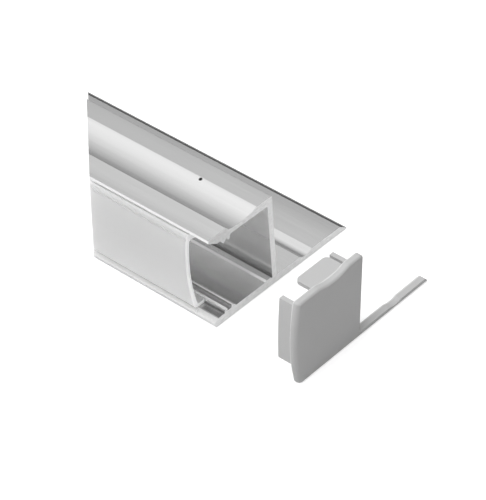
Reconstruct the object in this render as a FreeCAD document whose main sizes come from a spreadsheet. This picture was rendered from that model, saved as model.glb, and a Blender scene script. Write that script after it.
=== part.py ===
import FreeCAD, Part
import Sketcher
import math
import os
import re

# A short length of aluminium profile for an LED strip, with its opal diffuser
# and its moulded end cap. Millimetres. X runs along the profile with the near
# end at +X, Y runs across it from the diffuser to the flange, and Z is up from
# the underside of the base. The origin is on that underside, midway across it
# and near_length in from the near end, which is cut square. The far end is cut
# to a mitre. The cap is modelled taken off: it stands clear of the near end and
# slides back along X to its seat.
#
# Every outline lies across the profile. A place in one is (across, up): across
# from the base's edge under the diffuser, and up from the base's underside.

sizes = {
    # Whole profile
    "near_length": 25.0,
    "mitre_start": 7.7,
    "mitre_angle": 45.0,
    "mitre_margin": 3.0,
    "base_width": 40.0,
    # Base and flange
    "floor_thickness": 2.0,
    "flange_root": 1.85,
    "flange_edge": 1.65,
    "edge_taper": 2.3,
    "edge_reach": 0.3,
    "edge_tip": 0.15,
    "guide_start": 25.2,
    "guide_width": 3.8,
    "guide_radius": 3.3,
    # Lip, channel and the two low fins behind the diffuser's foot
    "lip_reach": 0.6,
    "lip_nose": 1.25,
    "lip_land": 0.75,
    "channel_end": 2.4,
    "fin_height": 0.77,
    "fin_width": 0.8,
    "fin_nick": 0.27,
    "nick_place": 0.4,
    "fin_draft": 0.1,
    "slot_width": 1.2,
    "slot_depth": 0.57,
    "second_fin_height": 0.85,
    "second_fin_width": 1.2,
    "second_fin_fall": 0.5,
    # Low ledge on the floor, beside the web's foot
    "ledge_gap": 0.45,
    "ledge_width": 1.65,
    "ledge_height": 0.25,
    "ledge_slope": 0.4,
    # Leaning web
    "web_foot": 16.7,
    "web_thickness": 1.4,
    "web_lean": 1.65,
    "cavity_height": 18.8,
    # Arm over the cavity, with its nose, tread, groove and rib
    "arm_thickness": 2.05,
    "nose_reach": 2.07,
    "nose_height": 0.8,
    "nose_foot": 0.4,
    "tread_width": 5.1,
    "step_drop": 0.68,
    "step_run": 0.6,
    "rib_drop": 0.2,
    "rib_width": 4.42,
    "groove_radius": 14.5,
    # Hook teeth under the arm
    "hook_end": 4.2,
    "hook_root": 0.12,
    "hook_depth": 1.1,
    "hook_pitch": 1.45,
    "hook_tip": 0.35,
    "hook_valley": 0.5,
    "hook_ramp": 0.85,
    "hook_back": 0.3,
    "outer_round": 0.3,
    "inner_round": 0.4,
    # Diffuser
    "diffuser_setback": 5.1,
    "diffuser_gap": 0.15,
    "diffuser_wall": 1.0,
    "diffuser_radius": 47.0,
    "diffuser_foot_out": 0.7,
    "diffuser_foot_up": 0.85,
    "diffuser_foot_wall": 0.7,
    "diffuser_head_out": 0.7,
    "diffuser_head_drop": 0.8,
    "diffuser_chamfer": 0.35,
    "diffuser_shoulder": 0.5,
    "diffuser_arm": 0.75,
    "diffuser_arm_gap": 0.2,
    "diffuser_corner_drop": 0.7,
    "bead_drop": 0.45,
    "bead_width": 0.3,
    "bead_depth": 0.14,
    "barb_height": 0.45,
    "barb_tip": 0.2,
    "barb_root": 0.55,
    "barb_land": 0.2,
    # End cap: plate and its arm over the base
    "cap_standoff": 21.0,
    "cap_plate": 1.6,
    "cap_drop": 0.55,
    "cap_crest": 0.2,
    "cap_foot_out": 2.0,
    "cap_head_out": 2.8,
    "cap_radius": 46.0,
    "cap_right_foot": 16.2,
    "cap_right_head": 16.15,
    "wave_start": 3.3,
    "wave_end": 11.7,
    "wave_radius": 11.2,
    "wave_blend": 3.0,
    "cap_arm_height": 1.15,
    "cap_arm_reach": 37.85,
    "cap_arm_taper": 1.0,
    "cap_guide_radius": 5.0,
    "cap_corner": 0.9,
    "cap_left_corner": 0.5,
    "cap_side_round": 0.9,
    "cap_back_round": 0.3,
    # End cap: skirt, tab and blade that reach into the profile
    "cap_gap": 0.25,
    "cap_root": 0.5,
    "skirt_depth": 3.05,
    "skirt_wall": 1.05,
    "skirt_inset": 0.1,
    "skirt_foot": 5.0,
    "skirt_radius": 130.0,
    "tab_start": 3.05,
    "tab_depth": 4.25,
    "tab_wall": 0.8,
    "tab_round": 1.1,
    "tab_slot": 0.65,
    "blade_depth": 3.95,
    "blade_wall": 1.05,
    "blade_gap": 1.3,
    "blade_height": 11.5,
}

doc = FreeCAD.newDocument("led_strip_profile")
sheet = doc.addObject("Spreadsheet::Sheet", "Sizes")
for row, (alias, size) in enumerate(sizes.items(), start=1):
    sheet.set(f"A{row}", alias)
    sheet.set(f"B{row}", str(size))
    sheet.setAlias(f"B{row}", alias)
doc.recompute()


def value(expression):
    return float(sheet.evalExpression(expression))


def bind(thing, path, expression):
    """Tie a property to sizes in the sheet."""
    in_sheet = re.sub(r"[a-z_]+", lambda word: f"Sizes.{word[0]}" if word[0] in sizes else word[0], expression)
    thing.setExpression(path, in_sheet)


def new_body(name):
    body = doc.addObject("PartDesign::Body", name)
    body.Label = name
    return body


def short_arc(start, end, radius, turn):
    """The short arc from start to end. With a turn of 1 its centre is on the left."""
    half = (end - start) / 2
    reach = math.sqrt(radius ** 2 - half.Length ** 2)
    centre = start + half + FreeCAD.Vector(-half.y, half.x, 0) * (turn * reach / half.Length)
    first, last = (start, end) if turn > 0 else (end, start)
    angles = [math.atan2(point.y - centre.y, point.x - centre.x) for point in (first, last)]
    return Part.ArcOfCircle(Part.Circle(centre, FreeCAD.Vector(0, 0, 1), radius), *angles)


def outline_on(body, name, role, across_axis, corners):
    """A closed outline on one of the body's planes, each corner tied to the sheet.

    Across is measured from the base's edge along one axis of the sketch. A
    corner has two places, then a radius and a turn where the edge that leaves
    it is an arc.
    """
    plane = next(item for item in body.Origin.OriginFeatures if item.Role == role)
    sketch = body.newObject("Sketcher::SketchObject", name)
    sketch.AttachmentSupport = [(plane, "")]
    sketch.MapMode = "FlatFace"
    bind(sketch, f"AttachmentOffset.Base.{across_axis}", "-base_width / 2")
    points = [FreeCAD.Vector(value(corner[0]), value(corner[1]), 0) for corner in corners]
    ends = []
    for corner, start, end in zip(corners, points, points[1:] + points[:1]):
        if len(corner) == 2:
            ends.append((sketch.addGeometry(Part.LineSegment(start, end)), 1, 2))
            continue
        radius, turn = corner[2:]
        edge = sketch.addGeometry(short_arc(start, end, value(radius), turn))
        ends.append((edge, 1, 2) if turn > 0 else (edge, 2, 1))
        rule = sketch.addConstraint(Sketcher.Constraint("Radius", edge, value(radius)))
        bind(sketch, f"Constraints[{rule}]", radius)
    for number, corner in enumerate(corners):
        edge, start, _ = ends[number]
        before, _, finish = ends[number - 1]
        sketch.addConstraint(Sketcher.Constraint("Coincident", before, finish, edge, start))
        for way, expression in zip(("DistanceX", "DistanceY"), corner):
            rule = sketch.addConstraint(Sketcher.Constraint(way, -1, 1, edge, start, value(expression)))
            bind(sketch, f"Constraints[{rule}]", expression)
    doc.recompute()
    return sketch


def section(body, name, corners):
    """A closed outline across the profile, its corners (across, up)."""
    return outline_on(body, name, "YZ_Plane", "x", corners)


def pad(body, name, outline, ahead, behind):
    """Extrude an outline along X, ahead towards the near end and behind from it."""
    feature = body.newObject("PartDesign::Pad", name)
    feature.Profile = outline
    feature.SideType = "Two sides"
    bind(feature, "Length", ahead)
    bind(feature, "Length2", behind)
    doc.recompute()
    return feature


def cut_mitre(body, solid):
    """Cut the far end of a length to the mitre, square to the base."""
    low = "(-mitre_margin)"
    high = "(base_width + mitre_margin)"
    triangle = outline_on(body, f"{body.Name}_mitre_outline", "XY_Plane", "y", [
        (f"-{mitre_back(low)}", low),
        (f"-{mitre_back(high)}", high),
        (f"-{mitre_back(high)}", low),
    ])
    before = solid.Shape.Volume
    feature = body.newObject("PartDesign::Pocket", f"{body.Name}_mitre")
    feature.Profile = triangle
    feature.Type = "ThroughAll"
    feature.Reversed = True
    doc.recompute()
    if feature.Shape.Volume >= before:
        raise RuntimeError(f"{feature.Label} cut nothing")
    return feature


def edge_at(feature, along, x, across, up):
    """Name of the edge along one axis whose middle is nearest to a place.

    The place's own coordinate along the edge doesn't matter.
    """
    place = FreeCAD.Vector(value(x), value(across) - value("base_width") / 2, value(up))
    nearest = {}
    for number, edge in enumerate(feature.Shape.Edges, start=1):
        way = edge.Vertexes[-1].Point - edge.Vertexes[0].Point
        if way.Length < 1e-6 or abs(getattr(way.normalize(), along)) < 0.99:
            continue
        offset = edge.CenterOfMass - place
        setattr(offset, along, 0)
        nearest[offset.Length] = f"Edge{number}"
    return nearest[min(nearest)]


def round_edges(body, name, feature, edges, radius):
    fillet = body.newObject("PartDesign::Fillet", name)
    fillet.Base = (feature, edges)
    bind(fillet, "Radius", radius)
    doc.recompute()
    return fillet


# Places that several outlines share
ceiling = "(floor_thickness + cavity_height)"
arm_top = f"({ceiling} + arm_thickness)"
rib_top = f"({arm_top} - rib_drop)"
tread_end = "(tread_width - nose_reach)"
nose_low = f"({arm_top} - nose_height)"
hook_high = f"({ceiling} - hook_root)"
hook_low = f"({ceiling} - hook_depth)"
valley_up = f"({hook_low} + hook_valley)"
tooth = "(hook_end - hook_back - hook_tip - hook_pitch)"
fin_top = "(floor_thickness + fin_height)"
nick = "(channel_end + nick_place)"
fin_end = "(channel_end + fin_width)"
slot_end = f"({fin_end} + slot_width)"
slot_up = f"({fin_top} - slot_depth)"
second_top = "(floor_thickness + second_fin_height)"
second_end = f"({slot_end} + second_fin_width)"
ledge_top = "(floor_thickness + ledge_height)"
ledge_end = "(web_foot - ledge_gap)"
guide_end = "(guide_start + guide_width)"
guide_up = "((flange_root + flange_edge) / 2)"
far_length = "(base_width + mitre_margin / 2)"


def mitre_back(across):
    """How far behind the origin the mitre stands at a place across."""
    return f"(mitre_start + {across} * tan(mitre_angle * 1deg))"


def web_inner(up):
    """How far across the web's inner face stands at a height."""
    return f"(web_foot - web_lean * ({up} - floor_thickness) / cavity_height)"


def web_outer(up):
    return f"({web_inner(up)} + web_thickness)"


def bowed_side(foot_out, foot_up, head_out, head_up, radius):
    """A bowed side face: how far across it stands at a height, and how deep inside it."""
    chord = f"sqrt(({head_out} - {foot_out})^2 + ({head_up} - {foot_up})^2)"
    reach = f"sqrt({radius}^2 - {chord}^2 / 4)"
    centre_out = f"(({head_out} + {foot_out}) / 2 - {reach} * ({head_up} - {foot_up}) / {chord})"
    centre_up = f"(({head_up} + {foot_up}) / 2 + {reach} * ({head_out} - {foot_out}) / {chord})"

    def across(up, inset="0"):
        return f"(-{centre_out} - sqrt(({radius} - {inset})^2 - ({up} - {centre_up})^2))"

    return across


def build_extrusion():
    body = new_body("extrusion")
    corners = [
        # Underside, then the flange with its thin far edge and its drill guide
        ("0", "0"),
        ("base_width", "0"),
        ("base_width + edge_reach", "edge_tip"),
        ("base_width + edge_reach - edge_taper", "flange_edge"),
        (guide_end, guide_up, "guide_radius", -1),
        ("guide_start", guide_up),
        # Outside of the web and the top of the arm
        (web_outer("flange_root"), "flange_root"),
        (web_outer(rib_top), rib_top),
        (f"{web_outer(rib_top)} - rib_width", rib_top, "groove_radius", -1),
        (f"{tread_end} + step_run", f"{arm_top} - step_drop"),
        (tread_end, arm_top),
        ("-nose_reach", arm_top),
        ("-nose_reach", nose_low),
        ("nose_foot", hook_high),
        # Two hook teeth under the arm
        (f"{tooth} - hook_ramp", hook_high),
        (tooth, hook_low),
        (f"{tooth} + hook_tip", hook_low),
        (f"{tooth} + hook_tip + hook_back", valley_up),
        (f"{tooth} + hook_pitch - hook_tip", valley_up),
        (f"{tooth} + hook_pitch", hook_low),
        (f"{tooth} + hook_pitch + hook_tip", hook_low),
        ("hook_end", ceiling),
        # Cavity: ceiling, web, ledge and floor
        (web_inner(ceiling), ceiling),
        ("web_foot", "floor_thickness"),
        (ledge_end, "floor_thickness"),
        (ledge_end, ledge_top),
        (f"{ledge_end} - ledge_width + ledge_slope", ledge_top),
        (f"{ledge_end} - ledge_width", "floor_thickness"),
        # Second fin, slot and first fin
        (f"{second_end} + fin_draft", "floor_thickness"),
        (second_end, f"{second_top} - second_fin_fall"),
        (f"{slot_end} + fin_draft", second_top),
        (slot_end, slot_up),
        (fin_end, slot_up),
        (fin_end, fin_top),
        (f"{nick} + fin_nick", fin_top),
        (nick, f"{fin_top} - fin_nick"),
        (f"{nick} - fin_nick", fin_top),
        ("channel_end + fin_draft", fin_top),
        ("channel_end", "floor_thickness"),
        # Lip
        ("lip_land", "floor_thickness"),
        ("-lip_reach", "lip_nose"),
    ]
    outline = section(body, "extrusion_outline", corners)
    solid = pad(body, "extrusion_length", outline, "near_length", mitre_back(far_length))
    outer = [
        edge_at(solid, "x", "0", web_outer(rib_top), rib_top),
        edge_at(solid, "x", "0", tread_end, arm_top),
    ]
    solid = round_edges(body, "outer_rounds", solid, outer, "outer_round")
    inner = [
        edge_at(solid, "x", "0", web_inner(ceiling), ceiling),
        edge_at(solid, "x", "0", web_outer("flange_root"), "flange_root"),
    ]
    solid = round_edges(body, "inner_rounds", solid, inner, "inner_round")
    cut_mitre(body, solid)
    return body


def build_diffuser():
    """Bowed wall, with a foot behind the first fin and a barb between the hook teeth."""
    body = new_body("diffuser")
    foot_up = "(floor_thickness + diffuser_foot_up)"
    foot_low = "(floor_thickness + diffuser_gap)"
    foot_high = f"({foot_low} + diffuser_foot_wall)"
    foot_end = "(channel_end - diffuser_gap)"
    head_out = "(nose_reach + diffuser_head_out)"
    head_up = f"({nose_low} - diffuser_head_drop)"
    bead_up = f"({head_up} - bead_drop - bead_width)"
    nose_under = f"({hook_high} - diffuser_arm_gap)"
    teeth_under = f"({hook_low} - diffuser_gap)"
    barb = f"({tooth} + (hook_pitch + hook_tip) / 2)"
    outer = bowed_side("diffuser_foot_out", foot_up, head_out, bead_up, "diffuser_radius")
    inner_foot = f"({foot_high} + diffuser_chamfer)"
    inner_head = f"({head_up} - diffuser_arm - diffuser_corner_drop)"
    corners = [
        ("-diffuser_foot_out", foot_up),
        ("-diffuser_foot_out + diffuser_chamfer", f"{foot_up} - diffuser_chamfer"),
        ("lip_land", foot_low),
        (foot_end, foot_low),
        (foot_end, foot_high),
        (f"{outer(inner_foot, 'diffuser_wall')} + diffuser_chamfer", foot_high),
        (outer(inner_foot, "diffuser_wall"), inner_foot, "diffuser_radius - diffuser_wall", -1),
        (outer(inner_head, "diffuser_wall"), inner_head),
        (f"{outer(inner_head, 'diffuser_wall')} + diffuser_chamfer", f"{inner_head} + diffuser_chamfer"),
        # Arm under the nose and the teeth, with the barb on its end
        ("nose_foot", f"{nose_under} - diffuser_arm"),
        (f"{tooth} - diffuser_gap", f"{teeth_under} - diffuser_arm"),
        (f"{barb} + barb_root / 2 + barb_land", f"{teeth_under} - diffuser_arm"),
        (f"{barb} + barb_root / 2 + barb_land", teeth_under),
        (f"{barb} + barb_root / 2", teeth_under),
        (f"{barb} + barb_tip / 2", f"{teeth_under} + barb_height"),
        (f"{barb} - barb_tip / 2", f"{teeth_under} + barb_height"),
        (f"{barb} - barb_root / 2", teeth_under),
        (f"{tooth} - diffuser_gap", teeth_under),
        (f"{tooth} - hook_ramp - diffuser_gap", nose_under),
        ("nose_foot", nose_under),
        # Head, then the fine bead line below it on the outside
        (f"-{head_out} + diffuser_shoulder", f"{head_up} + diffuser_shoulder"),
        (f"-{head_out}", head_up),
        (f"-{head_out}", f"{bead_up} + bead_width"),
        (f"-{head_out} + bead_depth", f"{bead_up} + bead_width / 2"),
        (f"-{head_out}", bead_up, "diffuser_radius", 1),
    ]
    outline = section(body, "diffuser_outline", corners)
    solid = pad(body, "diffuser_length", outline, "near_length - diffuser_setback", mitre_back(far_length))
    cut_mitre(body, solid)
    return body


def build_end_cap():
    """Moulded plate with an arm over the base's end, and three parts that reach inside."""
    body = new_body("end_cap")
    bind(body, "Placement.Base.x", "near_length + cap_standoff")
    cap_top = f"({ceiling} - cap_drop)"
    crest = f"({cap_top} + cap_crest)"
    side = bowed_side("cap_foot_out", "0", "cap_head_out", cap_top, "cap_radius")
    plate = section(body, "plate_outline", [
        ("-cap_foot_out", "0"),
        ("cap_arm_reach", "0"),
        ("cap_arm_reach - cap_arm_taper", "cap_arm_height"),
        (guide_end, "cap_arm_height", "cap_guide_radius", -1),
        ("guide_start", "cap_arm_height"),
        ("cap_right_foot", "cap_arm_height"),
        ("cap_right_head", crest),
        ("wave_end", crest, "wave_radius", -1),
        ("wave_start", cap_top),
        ("-cap_head_out", cap_top, "cap_radius", 1),
    ])
    solid = pad(body, "plate", plate, "cap_plate", "0")
    blends = [
        edge_at(solid, "x", "0", "wave_start", cap_top),
        edge_at(solid, "x", "0", "wave_end", crest),
    ]
    solid = round_edges(body, "wave_blends", solid, blends, "wave_blend")
    right = [edge_at(solid, "x", "0", "cap_right_head", crest)]
    solid = round_edges(body, "right_corner", solid, right, "cap_corner")
    middle = f"({cap_top} / 2)"
    front = [edge_at(solid, "z", "cap_plate", side(middle), middle)]
    solid = round_edges(body, "side_round", solid, front, "cap_side_round")
    # This round runs on from the two corners along the whole front rim
    left = [
        edge_at(solid, "x", "0", "-cap_foot_out", "0"),
        edge_at(solid, "x", "0", "-cap_head_out", cap_top),
    ]
    solid = round_edges(body, "left_corners", solid, left, "cap_left_corner")
    back = [edge_at(solid, "z", "0", side(middle), middle)]
    round_edges(body, "back_round", solid, back, "cap_back_round")

    # Skirt that fills the place of the missing stretch of diffuser
    inner_top = f"({hook_low} - cap_gap)"
    skirt_low = f"({side('skirt_foot')} + skirt_inset)"
    skirt_high = f"({side(inner_top)} + skirt_inset)"
    skirt = section(body, "skirt_outline", [
        (skirt_low, "skirt_foot"),
        (f"{skirt_low} + skirt_wall", "skirt_foot"),
        (f"{skirt_high} + skirt_wall", inner_top),
        (skirt_high, inner_top, "skirt_radius", 1),
    ])
    pad(body, "skirt", skirt, "cap_root", "skirt_depth")

    # Tab under the hook teeth, and the blade beside the web
    blade_out = f"({web_inner(inner_top)} - blade_gap)"
    blade_low = f"({inner_top} - blade_height)"
    tab_end = f"({blade_out} - blade_wall - tab_slot)"
    tab = section(body, "tab_outline", [
        ("tab_start", f"{inner_top} - tab_wall"),
        (tab_end, f"{inner_top} - tab_wall"),
        (tab_end, inner_top),
        ("tab_start", inner_top),
    ])
    solid = pad(body, "tab", tab, "cap_root", "tab_depth")
    free = [
        edge_at(solid, "z", "-tab_depth", "tab_start", inner_top),
        edge_at(solid, "z", "-tab_depth", tab_end, inner_top),
    ]
    round_edges(body, "tab_corners", solid, free, "tab_round")
    blade = section(body, "blade_outline", [
        (f"{web_inner(blade_low)} - blade_gap - blade_wall", blade_low),
        (f"{web_inner(blade_low)} - blade_gap", blade_low),
        (blade_out, inner_top),
        (f"{blade_out} - blade_wall", inner_top),
    ])
    pad(body, "blade", blade, "cap_root", "blade_depth")
    return body


def save(bodies):
    doc.recompute()
    for item in doc.Objects:
        if "Invalid" in item.State or "Error" in item.State:
            raise RuntimeError(f"{item.Label} did not build: {item.State}")
    for body in bodies:
        if body.Shape.isNull() or not body.Shape.isValid() or len(body.Shape.Solids) != 1:
            raise RuntimeError(f"{body.Label} is not one valid solid")
    os.makedirs("parts", exist_ok=True)
    for body in bodies:
        body.Shape.exportStep(f"parts/{body.Label}.step")
        print(body.Label, round(body.Shape.Volume, 2), body.Shape.BoundBox)


save([build_extrusion(), build_diffuser(), build_end_cap()])
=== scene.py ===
import math

import bpy
import numpy as np
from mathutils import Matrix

# Looks for a length of aluminium strip-light profile, its opal diffuser and its grey end cap.
# The three solids carry their own shape, so this file gives them finishes, light and a view.
# Lengths are in metres. X runs along the profile to its near end, Y across it from the
# diffuser to the flange, and Z up from the underside of the base.

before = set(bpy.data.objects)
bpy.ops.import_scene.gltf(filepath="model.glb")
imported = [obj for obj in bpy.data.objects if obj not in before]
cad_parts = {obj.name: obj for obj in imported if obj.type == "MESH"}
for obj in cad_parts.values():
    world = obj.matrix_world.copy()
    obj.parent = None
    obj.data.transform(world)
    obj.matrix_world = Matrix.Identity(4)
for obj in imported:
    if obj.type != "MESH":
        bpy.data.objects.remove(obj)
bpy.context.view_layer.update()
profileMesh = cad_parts["extrusion"]
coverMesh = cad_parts["diffuser"]
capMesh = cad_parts["end_cap"]
print("profile, diffuser and cap loaded")


class Num:
    # A node socket that takes part in Python sums, so that shader maths reads as a formula
    def __init__(self, nodes, socket):
        self.nodes = nodes
        self.socket = socket

    def work(self, operation, first, second=0.0):
        return self.nodes.add("ShaderNodeMath", {"operation": operation}, {0: first, 1: second})

    def __add__(self, other):
        return self.work("ADD", self, other)

    def __radd__(self, other):
        return self.work("ADD", other, self)

    def __sub__(self, other):
        return self.work("SUBTRACT", self, other)

    def __rsub__(self, other):
        return self.work("SUBTRACT", other, self)

    def __mul__(self, other):
        return self.work("MULTIPLY", self, other)

    def __abs__(self):
        return self.work("ABSOLUTE", self)


class Nodes:
    # The nodes of a material or of the world
    def __init__(self, owner):
        owner.use_nodes = True
        self.tree = owner.node_tree

    def add(self, kind, settings=None, inputs=None, output=0):
        # Any node: its settings first, then its sockets, each with a value or a link
        node = self.tree.nodes.new(kind)
        for name, setting in (settings or {}).items():
            if name == "stops":
                self.fillRamp(node.color_ramp.elements, setting)
            else:
                setattr(node, name, setting)
        self.feed(node, inputs or {})
        return Num(self, node.outputs[output])

    def fillRamp(self, elements, stops):
        while len(elements) < len(stops):
            elements.new(0.5)
        for element, (place, grey) in zip(elements, stops):
            element.position = place
            element.color = (grey, grey, grey, 1)

    def feed(self, node, inputs):
        for name, given in inputs.items():
            if isinstance(given, Num):
                self.tree.links.new(given.socket, node.inputs[name])
            else:
                node.inputs[name].default_value = given

    def place(self, stretch=(1, 1, 1)):
        spot = self.add("ShaderNodeTexCoord", output="Object")
        return self.add("ShaderNodeMapping", {}, {"Vector": spot, "Scale": stretch})

    def along(self, axis):
        return self.add("ShaderNodeSeparateXYZ", {}, {0: self.place()}, axis)

    def facing(self, axis):
        normal = self.add("ShaderNodeTexCoord", output="Normal")
        return self.add("ShaderNodeSeparateXYZ", {}, {0: normal}, axis)

    def noise(self, scale, stretch=(1, 1, 1), detail=2.0, roughness=0.5):
        # Noise about zero. A small stretch draws it out into lines along that axis.
        given = {"Vector": self.place(stretch), "Scale": scale, "Detail": detail,
                 "Roughness": roughness}
        return self.add("ShaderNodeTexNoise", {}, given) - 0.5

    def rise(self, value, fade):
        # 0 before the fade's first place and 1 past its second, smooth between them
        given = {"Value": value, "From Min": fade[0], "From Max": fade[1]}
        return self.add("ShaderNodeMapRange", {"interpolation_type": "SMOOTHSTEP"}, given)

    def fall(self, value, fade):
        return 1 - self.rise(value, fade)

    def distance(self, centre=(0, 0, 0)):
        given = {0: self.place(), 1: centre}
        return self.add("ShaderNodeVectorMath", {"operation": "DISTANCE"}, given, "Value")

    def grey(self, value):
        return self.add("ShaderNodeCombineColor", {}, {0: value, 1: value, 2: value})

    def bump(self, height, depth, strength):
        given = {"Height": height, "Distance": depth, "Strength": strength}
        return self.add("ShaderNodeBump", {}, given)

    def rays(self, *kinds):
        # 1 for a ray of any of these kinds
        found = [self.add("ShaderNodeLightPath", output=f"Is {kind} Ray") for kind in kinds]
        return self.add("ShaderNodeClamp", {}, {0: sum(found[1:], found[0])})


def laid(under, over, share):
    # One value laid over another: all of it where the share is 1
    return under + share * (over - under)


def newPaint(name, **shader):
    # A material with its constant values set on the shader's own sockets
    material = bpy.data.materials.new(name)
    nodes = Nodes(material)
    setShader(material, **shader)
    return material, nodes


def setShader(material, **values):
    shader = material.node_tree.nodes["Principled BSDF"]
    nodes = Nodes(material)
    nodes.feed(shader, {name.replace("_", " "): given for name, given in values.items()})


# Fades on one part of the way a face looks, from -1 to 1
facingFade = {
    "end": (0.60, 0.70),     # along X, either way: square cut or mitre
    "up": (0.6, 0.8),
    "down": (-0.6, -0.3),
    "flange": (0.3, 0.6),    # along Y, towards the flange
}

aluminium = {
    # Reflectance, much of it painted light and painted shade, stretch by stretch
    "skinGrey": 0.78,        # of the drawn skin
    "floorGrey": 0.68,       # of the floor inside, painted darker than the skin: painted shade
    "floorLoss": 0.28,       # and how much less of it by the fins: painted shade
    "wallGrey": 1.00,        # of the walls inside, painted brighter than the skin: painted light
    "rearGrey": 0.69,        # of the rib and the flange: painted shade
    "farGrey": 0.58,         # and darker still towards the far edge: painted shade
    "channelGrey": 0.42,     # down in the narrow channels: painted shade
    "paintedGlintGrey": 0.95,      # of the fins' crests and the slope of the ledge: painted highlight
    "coveredGrey": 0.68,     # of the lip where the diffuser covers it: painted shade
    "lipGrey": 0.98,         # of the lip's lower edge: painted highlight
    "noseGrey": 0.98,        # along the front of the tread: painted highlight
    "treadGrey": 0.69,       # at the front of the tread: painted shade
    "cutGrey": 0.83,         # of the sawn ends
    "edgeGrey": 0.05,        # of the far edge of the flange, painted near black and dull: painted dark reflection
    # How much of the channels' painted shade the web's foot and the top of the ledge get
    "webFootShare": 0.4,
    "ledgeTopShare": 0.5,
    "lipShare": 0.6,         # how much of its painted highlight the lip's lower edge gets
    "edgeLoss": 0.5,         # how much less of the painted dark the outermost part of the far edge gets
    # How far from bare metal
    "paintedGlintDull": 0.7,
    "coveredDull": 0.6,
    "wallDull": 0.55,
    "roughness": 0.24,
    "cutRoughness": 0.42,
    "edgeRoughness": 0.5,    # added on the far edge
    # Die lines and saw marks, in features per metre
    "fine": {"scale": 5200, "stretch": (0.004, 1, 1)},
    "fineShade": 0.05,
    "broad": {"scale": 900, "stretch": (0.01, 1, 1)},
    "broadShade": 0.09,
    "broadShadeLoss": 0.05,  # inside
    "broadRoughness": 0.10,
    "clouds": {"scale": 240, "stretch": (0.25, 1, 1), "detail": 3},
    "cloudShade": 0.05,
    "saw": {"scale": 3200, "stretch": (1, 0.3, 1), "detail": 4, "roughness": 0.7},
    "sawShade": 0.7,
    "lineDepth": 0.000003,
    "lineStrength": 0.35,
    # A dark speck on the tread
    "speckPlace": (0.0111, -0.0086, 0.0226),
    "speckFade": (0.000276, 0.000506),
    "speckShare": 0.04,      # how much of the grey is left in it
    # Where each stretch of the section starts or stops: the two ends of its fade
    "zones": {
        "floor": (0.00185, 0.00195),         # up, the floor inside
        "ceiling": (0.0208, 0.0209),         # up, the underside of the arm
        "fins": (-0.0155, -0.0080),          # across, the floor by the fins
        "rear": (-0.0088, -0.0078),          # across, from the rib on
        "far": (0.0120, 0.0176),             # across, towards the far edge
        "low": (0.0023, 0.0024),             # up, the floor with its ledge, less the fins
        "channelStart": (-0.01935, -0.0192),
        "channelEnd": (-0.0158, -0.0157),
        "webFoot": (-0.0038, -0.00375),
        "ledgeSlope": (-0.00550, -0.00545),
        "ledgeTop": (-0.0050, -0.00495),
        "crestStart": (0.0025, 0.0026),      # up, the fins' crests
        "crestEnd": (0.00295, 0.00305),
        "crestReach": (-0.0145, -0.0143),    # across, behind the fins
        "coverEnd": (0.0198, 0.0200),        # along, the diffuser's near end
        "lipBack": (-0.0193, -0.0192),
        "lipTop": (0.0019, 0.0021),
        "lipFront": (-0.01998, -0.01990),
        "lipEdge": (0.0005, 0.0007),
        "noseFront": (-0.02205, -0.02195),
        "noseStart": (0.0218, 0.0219),
        "noseEnd": (0.0226, 0.02275),
        "treadFront": (-0.0222, -0.0194),
        "treadTop": (0.0227, 0.0228),
        "edgeStart": (0.0180, 0.0184),
        "edgeEnd": (0.0192, 0.0200),
        "wall": (0.0050, 0.0190),            # up, the walls inside
    },
}


def profileStretches(nodes):
    # Each stretch of the section, from 0 to 1, by place and by the way its faces look. Most of
    # them carry painted light or painted shade.
    zones = aluminium["zones"]
    along, across, up = nodes.along("X"), nodes.along("Y"), nodes.along("Z")
    ends = nodes.rise(abs(nodes.facing("X")), facingFade["end"])
    level = nodes.rise(nodes.facing("Z"), facingFade["up"])
    low = nodes.fall(up, zones["low"])
    inner = nodes.rise(up, zones["floor"]) * nodes.fall(up, zones["ceiling"])
    inner = inner * nodes.fall(nodes.facing("Y"), facingFade["flange"])
    # Painted shade down in the channels, at the web's foot and on the top of the ledge
    channel = nodes.rise(across, zones["channelStart"]) * nodes.fall(across, zones["channelEnd"])
    for corner in ("webFoot", "ledgeTop"):
        channel = channel + nodes.rise(across, zones[corner]) * inner * aluminium[corner + "Share"]
    slope = nodes.rise(across, zones["ledgeSlope"]) * nodes.fall(across, zones["ledgeTop"])
    crest = nodes.rise(up, zones["crestStart"]) * nodes.fall(up, zones["crestEnd"])
    crest = crest * level * nodes.fall(across, zones["crestReach"])
    # Painted shade on the lip where the diffuser covers it
    covered = nodes.fall(along, zones["coverEnd"]) * nodes.fall(across, zones["lipBack"])
    # Painted highlight along the lip's lower edge
    lip = nodes.fall(across, zones["lipFront"]) * nodes.fall(up, zones["lipEdge"])
    # Painted highlight along the front of the tread
    nose = nodes.rise(up, zones["noseStart"]) * nodes.fall(up, zones["noseEnd"])
    edge = nodes.rise(across, zones["edgeStart"])
    edge = edge * (1 - nodes.rise(across, zones["edgeEnd"]) * aluminium["edgeLoss"])
    return {
        "ends": ends,
        "level": level,
        "inner": inner,
        "fins": nodes.fall(across, zones["fins"]),
        "rear": nodes.rise(across, zones["rear"]) * (1 - inner),
        "far": nodes.rise(across, zones["far"]) * (1 - inner),
        "channel": channel * low,
        # Painted highlight on the fins' crests and the slope of the ledge
        "paintedGlint": slope * low + crest,
        "covered": covered * nodes.fall(up, zones["lipTop"]),
        "lip": lip * aluminium["lipShare"],
        "nose": nose * nodes.fall(across, zones["noseFront"]),
        # Painted shade at the front of the tread
        "tread": nodes.fall(across, zones["treadFront"]) * nodes.rise(up, zones["treadTop"]),
        "edge": edge * (1 - ends),
        "wall": inner * (1 - level) * (1 - ends) * nodes.rise(up, zones["wall"]),
    }


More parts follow.
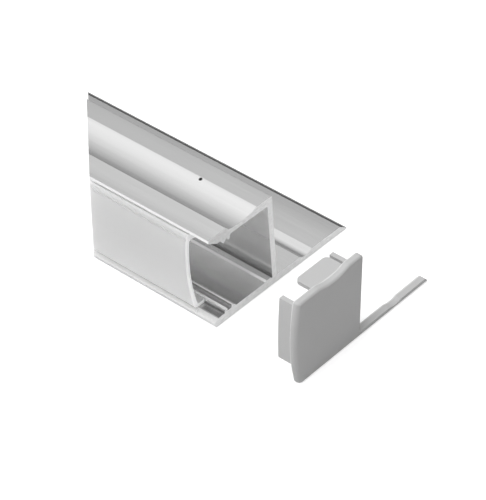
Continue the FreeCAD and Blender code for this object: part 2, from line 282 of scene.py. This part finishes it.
def skinGrey(at):
    # Reflectance of the drawn skin, stretch by stretch, with painted light and painted shade laid
    # over it
    metal = aluminium
    # Painted light on the walls inside, painted shade on the floor inside and more of it by the
    # fins
    inside = laid(metal["wallGrey"], metal["floorGrey"], at["level"])
    inside = inside - at["level"] * at["fins"] * metal["floorLoss"]
    grey = laid(metal["skinGrey"], inside, at["inner"])
    # Painted shade on the rib and the flange, darker towards the far edge
    grey = grey + at["rear"] * (metal["rearGrey"] - metal["skinGrey"])
    grey = grey + at["far"] * (metal["farGrey"] - metal["rearGrey"])
    for stretch in ("channel", "paintedGlint", "covered", "lip", "nose"):
        grey = laid(grey, metal[stretch + "Grey"], at[stretch])
    return grey + at["tread"] * (metal["treadGrey"] - metal["skinGrey"])


def aluminiumFinish():
    # Drawn skin with die lines along X, painted light and shade stretch by stretch, paler sawn
    # ends, a far edge painted dark as a painted reflection and one dark speck
    material, nodes = newPaint("satinAluminium")
    metal = aluminium
    at = profileStretches(nodes)
    fine, broad, clouds, saw = (nodes.noise(**metal[kind])
                                for kind in ("fine", "broad", "clouds", "saw"))
    skin = skinGrey(at) + broad * (metal["broadShade"] - at["inner"] * metal["broadShadeLoss"])
    skin = skin + fine * metal["fineShade"] + clouds * metal["cloudShade"]
    grey = laid(skin, metal["cutGrey"] + saw * metal["sawShade"], at["ends"])
    # Painted dark reflection along the flange's far edge
    grey = laid(grey, metal["edgeGrey"], at["edge"])
    clear = nodes.rise(nodes.distance(metal["speckPlace"]), metal["speckFade"])
    rough = metal["roughness"] + broad * metal["broadRoughness"]
    rough = laid(rough, metal["cutRoughness"], at["ends"]) + at["edge"] * metal["edgeRoughness"]
    bare = 1 - at["edge"]
    # The painted highlight, the painted shade under the diffuser and the painted light on the
    # inner walls are less metallic, so that their colour shows
    for stretch in ("paintedGlint", "covered", "wall"):
        bare = bare - at[stretch] * metal[stretch + "Dull"]
    lines = laid(fine + broad, saw, at["ends"])
    setShader(material, Base_Color=nodes.grey(grey * laid(metal["speckShare"], 1.0, clear)),
              Roughness=rough, Metallic=bare,
              Normal=nodes.bump(lines, metal["lineDepth"], metal["lineStrength"]))
    return material


opal = {
    "grey": 0.98,
    "headGrey": 0.74,        # painted shade on the top of the diffuser, by the nose
    "headZone": (0.0200, 0.0206),
    # Painted glow: emission, with no lamp behind it, on its cut ends, its foot, its lower part and
    # its top edge
    "endGlow": 0.22,
    "footGlow": 0.12,
    "footZone": (0.003, 0.004),
    "lowGlow": 0.08,
    "lowZone": (0.0020, 0.0160),
    "topGlow": 0.07,
    "topZone": (0.0214, 0.0216),
    "through": 1.0,          # share of the light that goes into the plastic
    "reach": 0.01,           # and how far it goes
    "roughness": 0.42,
    # Faint streaks from drawing
    "flow": {"scale": 900, "stretch": (0.01, 1, 1)},
    "flowShade": 0.02,
    "flowRoughness": 0.05,
    "flowDepth": 0.000004,
    "flowStrength": 0.3,
}


def opalFinish():
    # Drawn opal plastic: satin, with a very faint flow along the length, painted shade by the nose
    # and a painted glow on its ends, foot, lower part and top edge
    material, nodes = newPaint("opalPlastic", Subsurface_Weight=opal["through"],
                               Subsurface_Radius=(1, 1, 1), Subsurface_Scale=opal["reach"],
                               Emission_Strength=1.0)
    flow = nodes.noise(**opal["flow"])
    up = nodes.along("Z")
    # Painted shade on the diffuser's head, under the nose
    head = nodes.rise(up, opal["headZone"]) * (opal["headGrey"] - opal["grey"])
    foot = nodes.fall(nodes.facing("Z"), facingFade["down"]) * nodes.fall(up, opal["footZone"])
    # Painted glow on the cut ends, the foot, the lower part and the top edge
    glow = nodes.rise(abs(nodes.facing("X")), facingFade["end"]) * opal["endGlow"]
    glow = glow + foot * opal["footGlow"]
    glow = glow + nodes.rise(up, opal["topZone"]) * opal["topGlow"]
    glow = glow + nodes.fall(up, opal["lowZone"]) * opal["lowGlow"]
    setShader(material, Base_Color=nodes.grey(opal["grey"] + head + flow * opal["flowShade"]),
              Emission_Color=nodes.grey(glow),
              Roughness=opal["roughness"] + flow * opal["flowRoughness"],
              Normal=nodes.bump(flow, opal["flowDepth"], opal["flowStrength"]))
    return material


moulded = {
    "grey": 0.475,
    "roughness": 0.5,
    "grain": {"scale": 5200, "detail": 3},
    "grainShade": 0.04,
    "grainRoughness": 0.10,
    "grainDepth": 0.000012,
    "grainStrength": 0.4,
    "clouds": {"scale": 180},
    "cloudShade": 0.02,
    # Painted highlight: a fine pale line along the plate's back edge
    "rimHighlightGrey": 0.62,
    "rimHighlightStart": (0.04585, 0.0460),
    "rimHighlightEnd": (0.0462, 0.04635),
}


def mouldedFinish():
    # Moulded grey plastic with the fine spark-eroded grain of its tool and a painted highlight
    # along the plate's back edge
    material, nodes = newPaint("mouldedPlastic")
    grain, clouds = nodes.noise(**moulded["grain"]), nodes.noise(**moulded["clouds"])
    along = nodes.along("X")
    rimHighlight = nodes.rise(along, moulded["rimHighlightStart"]) * nodes.fall(along, moulded["rimHighlightEnd"])
    grey = moulded["grey"] + grain * moulded["grainShade"] + clouds * moulded["cloudShade"]
    setShader(material, Base_Color=nodes.grey(laid(grey, moulded["rimHighlightGrey"], rimHighlight)),
              Roughness=moulded["roughness"] + grain * moulded["grainRoughness"],
              Normal=nodes.bump(grain, moulded["grainDepth"], moulded["grainStrength"]))
    return material


def coat(piece, material):
    piece.data.materials.clear()
    piece.data.materials.append(material)


coat(profileMesh, aluminiumFinish())
coat(coverMesh, opalFinish())
coat(capMesh, mouldedFinish())
print("finishes done")


studio = {
    "floorSize": 3.0,
    "floorDrop": 0.00005,    # below the base, so that the two never share a plane
    "floorGrey": 0.55,
    "floorWhite": 0.60,      # what it adds to the camera
    "farWhite": 0.35,        # and more of it where the lamps no longer reach
    "farZone": (0.15, 0.6),
    "floorInMetal": 0.22,    # what it adds in reflections
    "air": 0.46,             # plain light from all round
    # What metal sees of the air: how high (the sine of the elevation) and how bright
    "sky": [(0.0, 0.12), (0.31, 0.28), (0.64, 0.78), (0.84, 1.2), (0.92, 1.0), (1.0, 0.6)],
    "aim": (0, 0, 0.01),
    "lamps": [
        {"name": "keyLamp", "place": (0.02, -0.31, 0.70), "size": 0.4, "power": 4.4},
        {"name": "rimLamp", "place": (-0.55, -0.16, 0.16), "size": 0.25, "power": 1.5},
    ],
}


def floorFinish():
    # White to the camera and pale to metal, and still dimmed a little by a shadow
    material, nodes = newPaint("studioFloor", Base_Color=(studio["floorGrey"],) * 3 + (1,),
                               Roughness=1.0, Specular_IOR_Level=0.0, Emission_Strength=1.0)
    far = nodes.rise(nodes.distance(), studio["farZone"]) * studio["farWhite"]
    seen = nodes.rays("Camera") * (studio["floorWhite"] + far)
    seen = seen + nodes.rays("Glossy", "Transmission") * studio["floorInMetal"]
    setShader(material, Emission_Color=nodes.grey(seen))
    return material


def makeFloor():
    half = studio["floorSize"] / 2
    corners = np.array([(-half, -half), (half, -half), (half, half), (-half, half)])
    corners = np.column_stack([corners, np.full(4, -studio["floorDrop"])])
    mesh = bpy.data.meshes.new("floor")
    mesh.from_pydata(corners.tolist(), [], [(0, 1, 2, 3)])
    floor = bpy.data.objects.new("floor", mesh)
    bpy.context.scene.collection.objects.link(floor)
    coat(floor, floorFinish())


def makeWorld():
    # White to the camera and plain light for the rest. Metal sees it darker at the horizon,
    # brightest high up, where the lamp is, and duller again overhead.
    world = bpy.data.worlds.new("studioAir")
    bpy.context.scene.world = world
    nodes = Nodes(world)
    way = nodes.add("ShaderNodeTexCoord", output="Generated")
    height = nodes.add("ShaderNodeSeparateXYZ", {}, {0: way}, "Z")
    sky = nodes.add("ShaderNodeValToRGB", {"stops": studio["sky"]}, {0: height})
    level = laid(studio["air"], sky, nodes.rays("Glossy"))
    nodes.feed(nodes.tree.nodes["Background"], {
        "Color": (1, 1, 1, 1),
        "Strength": laid(level, 1, nodes.rays("Camera", "Transmission")),
    })


def makeLamp(name, place, size, power):
    data = bpy.data.lights.new(name, "AREA")
    data.size = size
    data.energy = power
    lamp = bpy.data.objects.new(name, data)
    lamp.location = place
    lamp.visible_glossy = False      # metal sees the bright part of the sky in its place
    way = np.array(studio["aim"], float) - np.array(place, float)
    flat = math.hypot(way[0], way[1])
    lamp.rotation_euler = (math.atan2(flat, -way[2]), 0, math.atan2(-way[0], way[1]))
    bpy.context.scene.collection.objects.link(lamp)


makeFloor()
makeWorld()
for lamp in studio["lamps"]:
    makeLamp(**lamp)
print("studio done")


view = {
    "place": (0.23653, -0.25827, 0.28220),
    "turn": 40.68,           # degrees round from looking along +Y
    "tilt": 39.52,           # degrees down
    "lens": 158.4,
    "sensor": 36.0,
    "clip": (0.01, 10),
}


def makeCamera():
    data = bpy.data.cameras.new("camera")
    data.lens = view["lens"]
    data.sensor_width = view["sensor"]
    data.clip_start, data.clip_end = view["clip"]
    camera = bpy.data.objects.new("camera", data)
    camera.location = view["place"]
    camera.rotation_euler = (math.radians(90 - view["tilt"]), 0, math.radians(view["turn"]))
    bpy.context.scene.collection.objects.link(camera)
    bpy.context.scene.camera = camera


makeCamera()
bpy.context.scene.view_settings.view_transform = "Standard"
print("camera done")
